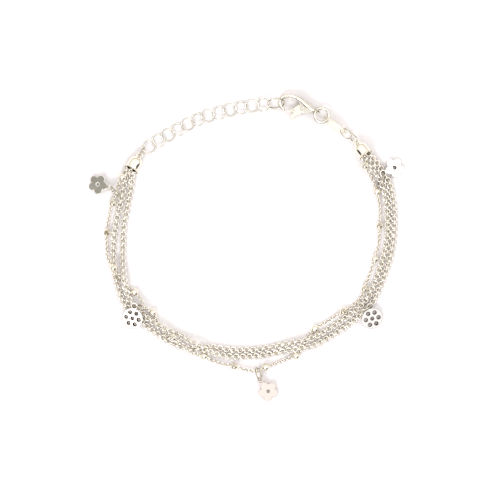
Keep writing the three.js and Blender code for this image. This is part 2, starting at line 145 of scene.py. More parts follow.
def soft_light(name, place, size, watts, colour):
    """A square soft light at a place in metres. It looks at the bracelet: its tilt from straight
    down is the angle whose cosine is height over distance."""
    data = bpy.data.lights.new(name, "AREA")
    data.size = size
    data.energy = watts
    data.color = linear(colour)[:3]
    light = bpy.data.objects.new(name, data)
    light.location = place
    tilt = np.arccos(place[2] / np.linalg.norm(place))
    light.rotation_euler = (tilt, 0.0, np.arctan2(place[1], place[0]) + np.pi / 2)
    scene.collection.objects.link(light)


soft_light("front_softbox", (-0.3, -0.6, 0.7), 0.3, 3.5, "#FFFFFF")
soft_light("side_softbox", (0.6, 0.1, 0.8), 0.5, 1.2, "#FFFFFF")

# %% White board
board_mesh = bpy.data.meshes.new("white_board")
board_mesh.from_pydata([(-1, -1, 0), (1, -1, 0), (1, 1, 0), (-1, 1, 0)], [], [(0, 1, 2, 3)])
board = bpy.data.objects.new("white_board", board_mesh)
scene.collection.objects.link(board)
matt_white = bpy.data.materials.new("matt_white_board")
matt_white.use_nodes = True
card = matt_white.node_tree.nodes["Principled BSDF"].inputs
card["Base Color"].default_value = linear("#F8F4F6")
card["Roughness"].default_value = 0.9
board_mesh.materials.append(matt_white)

# %% [markdown]
# ## Silver
# All the metal is one alloy, finished in different ways, so one recipe makes every material.
# Tumbling with steel shot leaves cast silver bright under a fine haze of crossing scratches.
# A tone attribute on a mesh, from 0 to 1, mixes in a second colour, which is mostly painted light:
# painted shade inside the links, the bells and the holes, painted dark reflections along wires and
# on the bead crowns, and a painted glint round one flower. A metal's colour is its reflection, so
# colour, roughness and bump are all it needs.

# %% Silver finishes
CLOUD_SIZE = 3.0                     # mm
SCRATCH_GAP = 0.25                   # mm, far coarser than real ones, which are too fine to show
SCRATCH_DEPTH = 0.01                 # mm


def silver(name, colour, painted_light_and_film, roughness, share_all_over=0.0):
    """Silver with a second colour, which in most finishes is painted shade, painted dark reflection
    and painted glint, and in the blush finish a warm tint. Its share is tone, plus an even share
    all over, times a cloud that mostly wanders between 0.7 and 1.3. The same cloud moves the
    roughness by up to 0.06 either way, and a full share adds 0.25 to it. A fine bump draws the
    scratches."""
    material = bpy.data.materials.new(name)
    material.use_nodes = True
    tree = material.node_tree
    shader = tree.nodes["Principled BSDF"]
    shader.inputs["Metallic"].default_value = 1.0
    place = add_node(tree, "ShaderNodeTexCoord").outputs["Object"]
    cloud = add_node(tree, "ShaderNodeTexNoise", {
        "Vector": place, "Scale": 1 / (CLOUD_SIZE * MM), "Detail": 3.0}).outputs["Fac"]
    tone = add_node(tree, "ShaderNodeAttribute", attribute_name="tone").outputs["Fac"]
    depth = add_node(tree, "ShaderNodeMath", {0: tone, 1: share_all_over}, operation="ADD").outputs[0]
    patchy = add_node(tree, "ShaderNodeMath", {0: cloud, 1: 1.2, 2: 0.4},
                      operation="MULTIPLY_ADD").outputs[0]
    share = add_node(tree, "ShaderNodeMath", {0: depth, 1: patchy}, operation="MULTIPLY",
                     use_clamp=True).outputs[0]
    colours = add_node(tree, "ShaderNodeMix", {
        MIX_FACTOR: share, MIX_A: linear(colour), MIX_B: linear(painted_light_and_film)}, data_type="RGBA")
    tree.links.new(colours.outputs[MIX_RESULT], shader.inputs["Base Color"])
    haze = add_node(tree, "ShaderNodeMath", {0: cloud, 1: 0.12, 2: roughness - 0.06},
                    operation="MULTIPLY_ADD").outputs[0]
    rough = add_node(tree, "ShaderNodeMath", {0: share, 1: 0.25, 2: haze}, operation="MULTIPLY_ADD")
    tree.links.new(rough.outputs[0], shader.inputs["Roughness"])
    scratches = add_node(tree, "ShaderNodeTexNoise", {
        "Vector": place, "Scale": 1 / (SCRATCH_GAP * MM), "Detail": 2.0}).outputs["Fac"]
    bump = add_node(tree, "ShaderNodeBump", {
        "Height": scratches, "Strength": 0.15, "Distance": SCRATCH_DEPTH * MM})
    tree.links.new(bump.outputs["Normal"], shader.inputs["Normal"])
    return material


# Cast and tumbled: nearly a mirror, so the eye sees the white tent and its dark corners, softened.
# Its brown second colour is painted: shade inside the bells, and dark reflections on the bead
# crowns and along the clasp's sides.
cast_silver = silver("tumbled_cast_silver", "#FBF6E9", "#6A583A", 0.16)
# Drawn wire: as bright. Its brown, along the sides of every ring, is a painted dark reflection
# that outlines it.
wire_silver = silver("drawn_silver_wire", "#F7F3E8", "#6C5C3E", 0.18)
# A chain: bright outside, with painted brown shade inside its links where they shade each other,
# so a strand looks peppered.
chain_silver = silver("shade_painted_chain_silver", "#FDF8EE", "#927D5D", 0.22)
# Stamped and tumbled sheet: a soft white face. Its dark brown is painted shade in its holes and a
# faint painted outline round its edge.
stamped_silver = silver("tumbled_stamped_silver", "#FCFAF6", "#583E28", 0.34)
# Dark sheet: a dull grey face. The bright second colour is a painted glint round its edges, and a
# little of it lies all over.
dark_grey_silver = silver("dark_grey_stamped_silver", "#7B7669", "#FFFDF6", 0.24, share_all_over=0.16)
# Satin sheet with a faint warm blush: a pale face that mirrors nothing.
blush_silver = silver("satin_blush_silver", "#E8E0DA", "#D2C6BC", 0.45, share_all_over=0.2)
print("finishes:", [material.name for material in bpy.data.materials])

# %% [markdown]
# ## Surfaces from arrays
# Every surface here is a grid of points: rows that follow a path, a profile or an outline, and
# columns that go round a section. Modifiers could bend or spin ready-made shapes, but with
# arrays every point comes from a formula that can be read. One helper lists a grid's faces, one
# joins surfaces, and one turns arrays into a piece. The next cell's helpers lay out the paths.
# Sizes are in millimetres until the last moment.

# %% Grids and pieces
SAME_POINT = 1e-4                    # mm: points as close as this are merged


def grid_faces(rows, columns, closed_rows=False):
    """The four-sided faces of a grid whose columns close into a loop: each face joins a point,
    the next one in its row, and the two above. With closed_rows the last row joins the first."""
    row = np.arange(rows if closed_rows else rows - 1)[:, None]
    column = np.arange(columns)[None, :]
    above = (row + 1) % rows
    beside = (column + 1) % columns
    corners = [row * columns + column, row * columns + beside, above * columns + beside,
               above * columns + column]
    return np.stack(corners, axis=-1).reshape(-1, 4)


def list_of(faces):
    """Faces as a list of lists of whole numbers, from an array or from such a list."""
    return faces.tolist() if isinstance(faces, np.ndarray) else faces


def joined(surfaces):
    """Several (points, faces) pairs as one. Each pair's faces count on from the points before."""
    starts = np.cumsum([0] + [len(points) for points, _ in surfaces]).tolist()
    faces = [[corner + start for corner in face]
             for (_, own), start in zip(surfaces, starts) for face in list_of(own)]
    return np.concatenate([points for points, _ in surfaces]), faces


def make_piece(name, surface, material, nodes=(), body="bracelet",
               tone=None):
    """A smooth piece from (points in mm, faces), with points that coincide merged, so that
    poles close. Its volume is a sixth of the sum of corner . (corner x corner) over its
    triangles, and it is positive only when the faces look outwards."""
    points, faces = surface
    mesh = bpy.data.meshes.new(name)
    mesh.from_pydata((np.asarray(points) * MM).tolist(), [], list_of(faces))
    if tone is not None:
        attribute = mesh.attributes.new("tone", "FLOAT", "POINT")
        attribute.data.foreach_set("value", np.asarray(tone, dtype=np.float32).ravel())
    shape = bmesh.new()
    shape.from_mesh(mesh)
    bmesh.ops.remove_doubles(shape, verts=shape.verts, dist=SAME_POINT * MM)
    volume = shape.calc_volume(signed=True) / MM**3
    shape.to_mesh(mesh)
    shape.free()
    mesh.shade_smooth()
    mesh.materials.append(material)
    piece = bpy.data.objects.new(name, mesh)
    scene.collection.objects.link(piece)
    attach(piece, body)
    if nodes:
        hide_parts(*nodes)
    print(f"{name}: {len(mesh.polygons)} faces, {volume:.2f} mm3")
    return piece


# %% Paths
ROW_STEPS = 16                       # points of a smooth path for each of its rows


def smooth_path(rows, steps=ROW_STEPS, closed=False):
    """A Catmull-Rom curve through the rows: each point weighs four neighbouring rows by
    (-t + 2t^2 - t^3)/2, (2 - 5t^2 + 3t^3)/2, (t + 4t^2 - 3t^3)/2 and (-t^2 + t^3)/2."""
    rows = np.asarray(rows, dtype=float)
    if closed:
        around = np.concatenate([rows[-1:], rows, rows[:2]])
    else:
        around = np.concatenate([2 * rows[:1] - rows[1:2], rows, 2 * rows[-1:] - rows[-2:-1]])
    t = np.linspace(0, 1, steps, endpoint=False)[:, None]
    weights = np.hstack([-t + 2 * t**2 - t**3, 2 - 5 * t**2 + 3 * t**3, t + 4 * t**2 - 3 * t**3,
                         -t**2 + t**3]) / 2
    spans = np.stack([around[step:len(around) - 3 + step] for step in range(4)], axis=1)
    points = np.einsum("tw,swd->std", weights, spans).reshape(-1, rows.shape[1])
    return points if closed else np.concatenate([points, rows[-1:]])


def distances(path):
    """How far along a path each of its points lies."""
    return np.concatenate([[0.0], np.cumsum(np.linalg.norm(np.diff(path, axis=0), axis=1))])


def along(path, stations):
    """The points of a path at given distances from its start."""
    return np.stack([np.interp(stations, distances(path), column) for column in path.T], axis=1)


def unit(vectors):
    """Each vector divided by its length."""
    return vectors / np.linalg.norm(vectors, axis=-1, keepdims=True)


def turned(heading=0.0, roll=0.0, pitch=0.0):
    """The matrix that rolls about X, lifts the far end about Y and then turns about Z, degrees."""
    (ch, cr, cp), (sh, sr, sp) = (f(np.radians([heading, roll, -pitch])) for f in (np.cos, np.sin))
    about_x = np.array([[1, 0, 0], [0, cr, -sr], [0, sr, cr]])
    about_y = np.array([[cp, 0, sp], [0, 1, 0], [-sp, 0, cp]])
    about_z = np.array([[ch, -sh, 0], [sh, ch, 0], [0, 0, 1]])
    return about_z @ about_y @ about_x


def placed(surface, middle, matrix=None):
    """A surface turned by a matrix and then moved to its place."""
    points, faces = surface
    return points @ (np.eye(3) if matrix is None else matrix).T + np.asarray(middle), faces


# %% [markdown]
# ## The links of the chains
# A rolo chain is round links of one size, each turned a quarter turn from the last, so that from
# above you see a row of little eyes with edges between them. A cable chain is the same idea
# with finer, longer links. Modelling one link and copying it would leave hundreds of
# objects. Instead one array holds all the links: a torus is worked out for every station at
# once, so a whole strand is one mesh, with a few dozen faces in each link. The strand also
# twists a little along its way, because no chain lies perfectly straight.

# %% Links along a path
LINK_SECTION = 5                     # points round the wire of a link


def link_strand(path, stations, half_length, half_widths, wire, twist, around=12):
    """One torus for each station. With a along the link and b round its wire, a point is
    middle + (half_length cos a) forward + (half_width sin a) wide + wire (cos b outward
    - sin b normal). wide turns from side towards up by twist degrees, and a quarter turn more
    on every other link. Links that lie flat and links that stand have their own half widths.
    Also gives tone for painted shade: (0.5 - 0.5 cos b) to the power 5, which is 1 on the inside
    of a link, where the links shade each other, and fades fast to 0 on its outside."""
    middle = along(path, stations)
    total = distances(path)[-1]
    forward = unit(along(path, np.clip(stations + half_length, 0, total))
                   - along(path, np.clip(stations - half_length, 0, total)))
    side = unit(np.cross([0.0, 0.0, 1.0], forward))
    up = np.cross(forward, side)
    standing = np.arange(len(stations)) % 2
    angle = np.radians(twist + 90.0 * standing)[:, None]
    half_width = np.take(half_widths, standing)[:, None, None, None]
    wide = np.cos(angle) * side + np.sin(angle) * up
    normal = np.cross(forward, wide)
    a = np.linspace(0, 2 * np.pi, around, endpoint=False)[None, :, None, None]
    b = np.linspace(0, 2 * np.pi, LINK_SECTION, endpoint=False)[None, None, :, None]
    forward, wide, normal, middle = (v[:, None, None, :] for v in (forward, wide, normal, middle))
    outward = unit(half_width * np.cos(a) * forward + half_length * np.sin(a) * wide)
    points = (middle + half_length * np.cos(a) * forward + half_width * np.sin(a) * wide
              + wire * (np.cos(b) * outward - np.sin(b) * normal))
    count = len(stations)
    faces = grid_faces(around, LINK_SECTION, closed_rows=True)
    starts = np.arange(count)[:, None, None] * around * LINK_SECTION
    # Painted shade: the inside of each link's wire, where its neighbours shade it.
    inside = np.broadcast_to(0.5 - 0.5 * np.cos(b), (count, around, LINK_SECTION, 1))
    return (points.reshape(-1, 3), (faces[None] + starts).reshape(-1, 4)), inside**5


# %% Routes of the strands
INNER_OUTER_ROUTE = [
    # x, y, z in mm, from the left cap to the right one
    (-25.3, 18.05, 1.68), (-26.0, 16.95, 1.65), (-26.15, 15.6, 1.05), (-26.3, 13.8, 0.7),
    (-26.9, 10.5, 0.7), (-27.6, 7.0, 0.7), (-28.1, 3.5, 0.7), (-28.2, 0.0, 0.7),
    (-28.2, -3.0, 0.8), (-28.05, -5.6, 1.3), (-27.75, -8.3, 1.75), (-27.15, -10.8, 1.3),
    (-26.1, -13.0, 0.75), (-23.6, -15.4, 0.8), (-21.5, -17.1, 1.3), (-19.6, -18.1, 1.75),
    (-17.4, -19.2, 1.4), (-15.2, -20.2, 1.0), (-12.8, -21.6, 1.6), (-10.0, -23.1, 2.2),
    (-7.4, -24.4, 1.6), (-4.6, -25.0, 0.8), (-1.3, -25.2, 0.7), (2.2, -25.1, 0.7),
    (5.6, -24.6, 0.7), (9.0, -23.9, 1.0), (12.6, -23.2, 1.6), (15.6, -22.6, 1.2),
    (18.6, -21.1, 0.75), (22.0, -19.0, 0.7), (25.3, -16.6, 0.7), (27.8, -14.3, 0.7),
    (29.5, -12.2, 0.7), (30.9, -9.3, 0.7), (31.9, -6.6, 0.7), (32.9, -3.6, 0.7),
    (33.7, -0.3, 0.7), (34.1, 3.5, 0.7), (34.1, 7.5, 0.7), (33.8, 11.0, 0.7),
    (33.1, 14.4, 0.7), (31.9, 16.8, 0.75), (30.2, 19.3, 1.0), (28.6, 21.0, 1.6),
    (27.7, 22.2, 1.65),
]
OUTER_INNER_ROUTE = [
    (-26.5, 18.75, 1.68), (-27.15, 17.65, 1.6), (-27.6, 16.2, 1.0), (-28.0, 14.2, 0.7),
    (-28.5, 11.2, 0.7), (-29.2, 8.3, 0.7), (-29.9, 4.6, 0.7), (-30.3, 1.2, 0.7),
    (-30.4, -2.4, 0.7), (-30.2, -5.8, 0.7), (-29.4, -9.0, 0.7), (-28.5, -11.8, 0.7),
    (-27.2, -14.0, 0.7), (-24.8, -16.4, 0.7), (-22.6, -18.3, 0.7), (-20.2, -20.0, 0.7),
    (-17.6, -21.7, 0.7), (-14.6, -23.0, 0.7), (-12.3, -23.5, 0.7), (-10.4, -23.3, 0.7),
    (-8.2, -23.0, 0.7), (-5.4, -23.3, 0.7), (-1.3, -23.7, 0.7), (2.2, -23.6, 0.7),
    (5.6, -23.1, 0.7), (8.8, -22.4, 1.0), (11.8, -21.8, 1.6), (14.2, -21.3, 1.6),
    (16.2, -20.5, 1.1), (18.4, -19.3, 0.7), (21.2, -17.5, 0.7), (24.2, -15.4, 0.7),
    (26.6, -13.3, 0.7), (28.2, -11.3, 0.7), (29.4, -8.9, 0.7), (30.4, -6.2, 0.7),
    (31.4, -3.2, 0.7), (32.2, 0.0, 0.7), (32.6, 3.5, 0.7), (32.6, 7.5, 0.7),
    (32.3, 10.8, 0.75), (31.8, 13.4, 1.0), (31.0, 15.5, 1.2), (29.8, 17.4, 0.95),
    (28.5, 18.9, 1.1), (27.4, 20.2, 1.6), (26.5, 21.4, 1.65),
]
BEADED_ROUTE = [
    # x, y, z, and 1 where a bead sits
    (-25.95, 18.35, 2.72, 0), (-26.85, 17.0, 2.8, 0), (-28.3, 16.0, 2.45, 1), (-29.3, 14.2, 1.3, 0),
    (-29.65, 12.4, 1.0, 0), (-30.6, 10.1, 0.95, 1), (-31.3, 7.4, 0.6, 0), (-31.9, 3.3, 0.95, 1),
    (-31.9, -0.2, 0.6, 0), (-31.6, -2.6, 1.5, 0), (-30.3, -4.7, 2.4, 1), (-29.2, -6.5, 1.4, 0),
    (-28.0, -8.1, 0.45, 0), (-26.8, -9.3, 0.5, 0), (-25.5, -10.4, 0.95, 1), (-24.4, -11.4, 1.2, 0),
    (-23.7, -12.7, 1.3, 0), (-23.0, -13.9, 1.3, 0), (-21.3, -15.0, 0.95, 1), (-20.4, -16.8, 0.5, 0),
    (-19.5, -18.5, 0.45, 0), (-18.4, -20.0, 1.0, 0), (-16.7, -20.9, 2.1, 1), (-14.6, -22.3, 2.0, 0),
    (-12.2, -24.3, 1.7, 0), (-9.5, -25.0, 0.95, 1), (-7.7, -26.1, 0.6, 0), (-5.4, -26.8, 0.6, 0),
    (-2.6, -27.4, 0.95, 1), (0.0, -28.2, 1.0, 0), (2.6, -28.5, 1.1, 0), (4.6, -27.6, 0.95, 1),
    (7.2, -26.7, 0.6, 0), (9.8, -25.6, 0.6, 0), (11.6, -25.0, 0.95, 1), (12.9, -23.5, 0.5, 0),
    (13.8, -21.9, 0.45, 0), (14.7, -20.2, 0.5, 0), (15.9, -18.8, 0.95, 1), (19.0, -16.9, 0.6, 0),
    (22.5, -14.7, 0.95, 1), (24.2, -13.8, 0.55, 0), (25.7, -12.5, 0.55, 0), (26.65, -11.2, 0.6, 0),
    (27.3, -9.6, 0.95, 1), (28.4, -6.6, 0.6, 0), (29.7, -2.7, 0.95, 1), (30.6, 1.0, 0.6, 0),
    (30.8, 4.9, 0.95, 1), (30.9, 9.0, 0.6, 0), (30.2, 12.7, 0.95, 1), (29.5, 14.8, 0.5, 0),
    (28.5, 16.8, 1.2, 0), (27.4, 18.6, 2.4, 1), (27.7, 20.2, 2.75, 0), (27.1, 21.8, 2.7, 0),
]
SWAY = 14                            # degrees that a strand twists to each side
ROLO_SWAY_LENGTH = 9.0               # mm along the strand for a radian of the sway
ROLO_PITCH = 0.765                   # mm from link to link
ROLO_HALF_LENGTH = 0.59              # to the middle of the wire
ROLO_HALF_WIDTHS = (0.62, 0.49)      # of the links that lie flat, and of those that stand
ROLO_WIRE = 0.205
for name, rows, phase in (("a", INNER_OUTER_ROUTE, 0.0), ("b", OUTER_INNER_ROUTE, 2.1)):
    path = smooth_path(rows)
    stations = np.arange(ROLO_PITCH / 2, distances(path)[-1], ROLO_PITCH)
    twist = SWAY * np.sin(stations / ROLO_SWAY_LENGTH + phase)
    links, inside = link_strand(path, stations, ROLO_HALF_LENGTH, ROLO_HALF_WIDTHS, ROLO_WIRE,
                                twist)
    make_piece(f"rolo_links_{name}", links, chain_silver, [f"rolo_chain_{name}"],
               tone=inside)
    print(len(stations), "links over", round(distances(path)[-1], 1), "mm")

# %% [markdown]
# ## Beads on the cable chain
# The beads are small silver balls, drilled through and soldered over the chain. Each has a tiny
# collar of solder at both holes. A half circle with a short neck at each end, turned about the
# line of the chain, gives both at once. The links inside a bead are left out.

# %% Cable links and beads
CABLE_PITCH = 0.56
CABLE_HALF_LENGTH = 0.4
CABLE_HALF_WIDTHS = (0.31, 0.31)
CABLE_WIRE = 0.14
CABLE_LEAN = 40                      # degrees that the links lean off flat and upright
CABLE_SWAY_LENGTH = 7.0
BEAD_RADIUS = 0.9
LINK_IN_BEAD = 0.1                   # how far the middle of a link may lie inside a bead
beaded_rows = np.array(BEADED_ROUTE)
cable_path = smooth_path(beaded_rows[:, :3])
bead_at = distances(cable_path)[::ROW_STEPS][beaded_rows[:, 3] > 0]
stations = np.arange(CABLE_PITCH / 2, distances(cable_path)[-1], CABLE_PITCH)
clear = np.abs(stations[:, None] - bead_at).min(axis=1) > BEAD_RADIUS - LINK_IN_BEAD
sway = np.sin(np.arange(len(stations)) * CABLE_PITCH / CABLE_SWAY_LENGTH)
twist = CABLE_LEAN + SWAY * sway
links, inside = link_strand(cable_path, stations[clear], CABLE_HALF_LENGTH, CABLE_HALF_WIDTHS,
                            CABLE_WIRE, twist[clear], around=10)
make_piece("cable_links", links, chain_silver, ["beaded_chain"], tone=inside)


def turned_profile(profile, around=24):
    """(distance along X, radius) rows turned about X: a point is (x, r cos c, r sin c). It
    closes where a row has no radius. It looks outwards where the rows run towards +X."""
    c = np.linspace(0, 2 * np.pi, around, endpoint=False)
    x, r = np.asarray(profile, dtype=float).T[:, :, None]
    points = np.stack([x + 0 * c, r * np.cos(c), r * np.sin(c)], axis=-1)
    return points.reshape(-1, 3), grid_faces(len(profile), around)


COLLAR_RADIUS = 0.26
COLLAR_FACE = COLLAR_RADIUS * 0.8    # the flat end of a collar, inside its rounded corner
COLLAR_CORNER = 0.06
COLLAR_END = BEAD_RADIUS + 0.08
BEAD_LINE = 0.6                      # mm of chain on each side that a bead lines up with
swing = np.radians(np.linspace(162, 18, 15))    # the ball, from one collar to the other
bead_profile = [
    (-COLLAR_END, 0), (-COLLAR_END, COLLAR_FACE), (-COLLAR_END + COLLAR_CORNER, COLLAR_RADIUS),
    *np.stack([BEAD_RADIUS * np.cos(swing), BEAD_RADIUS * np.sin(swing)], axis=1),
    (COLLAR_END - COLLAR_CORNER, COLLAR_RADIUS), (COLLAR_END, COLLAR_FACE), (COLLAR_END, 0)]
bead = turned_profile(bead_profile)
bead_middle = along(cable_path, bead_at)
bead_forward = unit(along(cable_path, bead_at + BEAD_LINE)
                    - along(cable_path, bead_at - BEAD_LINE))
bead_side = unit(np.cross([0.0, 0.0, 1.0], bead_forward))
bead_axes = np.stack([bead_forward, bead_side, np.cross(bead_forward, bead_side)], axis=2)
beads = joined([placed(bead, middle, axes) for middle, axes in zip(bead_middle, bead_axes)])
# A painted dark reflection of the camera overhead sits on each bead's crown, stronger on some
# beads than on others. It starts at 0.78 of the radius above a bead's middle, and is full 0.14
# higher.
BEAD_CROWN_REFLECTIONS = [0.2, 0.5, 0.8, 0.3, 0.1, 0.2, 0.4, 0.1, 0.6, 0.1, 0.2, 0.0, 0.6, 0.5, 0.2, 0.6,
               0.1, 0.5]
CROWN_REFLECTION_STARTS, CROWN_REFLECTION_FADE = 0.78, 0.14
crown_reflection = np.repeat(BEAD_CROWN_REFLECTIONS, len(bead[0]))
rise = (beads[0] - np.repeat(bead_middle, len(bead[0]), axis=0))[:, 2] / BEAD_RADIUS
make_piece("soldered_beads", beads, cast_silver,
           tone=crown_reflection * np.clip((rise - CROWN_REFLECTION_STARTS) / CROWN_REFLECTION_FADE, 0, 1))
print(len(bead_at), "beads")

# %% [markdown]
# ## Rings
# The extension chain is round rings, each soldered shut. A jump ring is the same wire bent
# round but left open, with its two ends pushed together, so that it can be opened again. The
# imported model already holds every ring's place. The plane of a ring is read from its
# points: they spread least along its normal. A finer torus then takes its place, and a jump
# ring is a torus that stops just short of its start and has closed ends.

# %% Rings in their places
RING_AROUND, RING_SECTION = 48, 12   # points round a ring, and round its wire
START_ACROSS = (0.2, -0.6, 0.4)      # a ring starts square to this, and there a jump ring opens


def ring_place(node):
    """A CAD ring's middle, the matrix that lays XY in its plane, its mean radius and its
    wire's radius. The normal is the direction in which its points spread least."""
    corners = np.array([corner.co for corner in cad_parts[node].data.vertices]) / MM
    corners = np.unique(np.round(corners, 4), axis=0)
    middle = corners.mean(axis=0)
    normal = np.linalg.svd(corners - middle, full_matrices=False)[2][2]
    normal = normal * np.sign(normal[2])
    first = unit(np.cross(normal, START_ACROSS))
    matrix = np.stack([first, np.cross(normal, first), normal], axis=1)
    reach = np.linalg.norm((corners - middle) @ matrix[:, :2], axis=1)
    return middle, matrix, (reach.max() + reach.min()) / 2, (reach.max() - reach.min()) / 2


def wire_ring(radius, wire, gap=0.0):
    """A ring in XY. With a round the ring and b round the wire, a point is
    ((radius + wire cos b) cos a, (radius + wire cos b) sin a, -wire sin b). A gap in mm leaves
    the ring open, and then the wire's radius runs to nothing at both ends to close them."""
    b = np.linspace(0, 2 * np.pi, RING_SECTION, endpoint=False)
    if gap:
        # An end is flat out to 0.6 of the wire's radius, and then has a small round corner.
        start, corner = gap / radius / 2, wire / radius
        end = start + np.array([0, 0, 0.1]) * corner
        first = end[2] + 0.2 * corner
        a = np.concatenate([end, np.linspace(first, 2 * np.pi - first, RING_AROUND),
                            (2 * np.pi - end)[::-1]])
        share = np.concatenate([[0, 0.6, 0.9], np.ones(RING_AROUND), [0.9, 0.6, 0]])
    else:
        a = np.linspace(0, 2 * np.pi, RING_AROUND, endpoint=False)
        share = np.ones(RING_AROUND)
    a, share = a[:, None], share[:, None]
    out = radius + wire * share * np.cos(b)
    points = np.stack([out * np.cos(a), out * np.sin(a), -wire * share * np.sin(b)], axis=-1)
    return points.reshape(-1, 3), grid_faces(len(a), RING_SECTION, closed_rows=not gap)


def painted_outline_tone(surface, section, share=1.0):
    """Tone for a wire with section points round it: share times cos b to the power 6. It paints a
    dark reflection along its two sides, as an outline, and leaves the top and bottom bare."""
    b = np.linspace(0, 2 * np.pi, section, endpoint=False)
    return np.resize(share * np.cos(b)**6, len(surface[0]))


def ring_piece(name, node, gap=0.0):
    """A wire ring in the place of a CAD one, with a painted dark reflection on its inside and its
    outside.
    """
    middle, matrix, radius, wire = ring_place(node)
    ring = wire_ring(radius, wire, gap)
    return make_piece(name, placed(ring, middle, matrix), wire_silver, [node],
                      tone=painted_outline_tone(ring, RING_SECTION))


for number in range(1, 13):
    ring_piece(f"soldered_ring_{number:02d}", f"extender_ring_{number:02d}")
ring_piece("soldered_end_ring", "end_ring")
JUMP_GAP = 0.07
for node in ("left_cap_link", "right_cap_link", "tag_link", "clasp_jump_ring"):
    ring_piece(f"open_{node}", node, JUMP_GAP)

# %% [markdown]
# ## Bell caps
# Each cap is pressed from thin sheet: a dome that flares slightly to a rolled lip, with a loop
# of wire soldered on its crown. The ends of the three chains are tucked up inside. It is turned
# like the beads, but its profile comes back up the inside, so the bell is hollow with a
# real wall.

# %% Caps
CAP_LENGTH = 3.9
DOME = 1.6                           # how far down the dome reaches
CAP_NECK = 1.55
CAP_MOUTH = 1.72                     # to the middle of the lip
FLARE = 2.9                          # how far down the flare starts
CAP_WALL = 0.2
LIP = 0.15
SLANT = 0.9                          # how much further back the mouth is on top than below
CAP_AROUND = 40                      # points round the bell
CAP_LOOP_RADIUS, CAP_LOOP_WIRE, CAP_LOOP_PLACE = 0.6, 0.19, 0.35


def cap_radius(down):
    """The neck times a quarter circle over the dome, sqrt(1 - (1 - d / dome)^2), then a
    curve that opens to the mouth as the square of the distance past the flare's start."""
    dome = np.clip(1 - np.asarray(down) / DOME, 0, 1)
    flare = np.clip((np.asarray(down) - FLARE) / (CAP_LENGTH - LIP - FLARE), 0, 1)
    return CAP_NECK * np.sqrt(1 - dome**2) + (CAP_MOUTH - CAP_NECK) * flare**2


def slanted(surface):
    """Slides each point towards the apex in proportion to its height and to the square of its
    share of the length, so that the mouth is cut on a slant and shows its inside from above."""
    points, faces = surface
    share = np.clip(-points[:, 0] / CAP_LENGTH, 0, 1)**2
    slide = SLANT * share * (points[:, 2] / CAP_MOUTH + 1) / 2
    return points + np.column_stack([slide, 0 * slide, 0 * slide]), faces


# The profile runs down the inside of the wall, round the lip, and up the outside to the crown.
wall_down = np.array([0.35, 0.5, 0.9, 1.6, 2.4, 3.1, 3.5])
lip_angle = np.radians(np.linspace(-60, -285, 9))
shell_down = np.concatenate([
    [3.6, 3.4, 3.1, 2.7, 2.2], DOME * (1 - np.sin(np.linspace(0, np.pi / 2, 9)))])
cap_profile = [
    (-wall_down[0], 0), *zip(-wall_down, cap_radius(wall_down) - CAP_WALL),
    *zip(-CAP_LENGTH + LIP + LIP * np.cos(lip_angle), CAP_MOUTH + LIP * np.sin(lip_angle)),
    *zip(-shell_down, cap_radius(shell_down)),
]
bell = slanted(turned_profile(cap_profile, around=CAP_AROUND))
cap_loop = placed(wire_ring(CAP_LOOP_RADIUS, CAP_LOOP_WIRE), (CAP_LOOP_PLACE, 0, 0))
cap = joined([bell, cap_loop])
inner_points = (len(wall_down) + 1) * CAP_AROUND
cap_painted_shade = np.zeros(len(cap[0]))
cap_painted_shade[:inner_points] = 1.0        # painted shade inside the hollow bell
CAPS = (("left", (-24.5, 20.7, 1.9), 58.7), ("right", (25.6, 23.8, 1.9), 126.9))
for side, crown, heading in CAPS:
    make_piece(f"{side}_bell_cap", placed(cap, crown, turned(heading)), cast_silver,
               [f"{side}_end_cap"], tone=cap_painted_shade)

# %% [markdown]
# ## Plates with rounded edges
# The tag, the charms and the cheeks of the clasp are all flat plates with holes and soft
# edges. Blender could bevel a cut-out, but a bevel over many short edges is hard to control.
# Here each outline is carried round a quarter circle instead, from the flat on one side to the
# flat on the other, and a triangulation fills the flats. A narrow strip stays level before the
# edge starts to fall, which keeps the flat perfectly flat in reflections.

# %% Plates
LEVEL_STRIP = 0.02
EDGE_STEPS = 5                       # rows of points round each quarter circle
RIM_ROWS = 2 * EDGE_STEPS + 2        # with a level row on both sides


def rounded_rim(outline, thickness, edge):
    """An outline carried round its edge, from the lower flat to the upper one. At angle t, from
    0 to 90 degrees, it stands in by edge (1 - sin t), at a height of
    thickness / 2 - edge (1 - cos t)."""
    t = np.radians(np.linspace(0, 90, EDGE_STEPS))
    inward, lift = edge * (1 - np.sin(t)), thickness / 2 - edge * (1 - np.cos(t))
    inset = np.concatenate([[edge + LEVEL_STRIP], inward, inward[::-1], [edge + LEVEL_STRIP]])
    level = np.concatenate([-lift[:1], -lift, lift[::-1], lift[:1]])[:, None]
    run = unit(np.roll(outline, -1, axis=0) - np.roll(outline, 1, axis=0))
    outward = np.stack([run[:, 1], -run[:, 0]], axis=1)
    rim = outline[None] - inset[:, None, None] * outward[None]
    rim = np.concatenate([rim, np.broadcast_to(level, rim.shape[:2])[..., None]], axis=2)
    return rim.reshape(-1, 3), grid_faces(RIM_ROWS, len(outline))


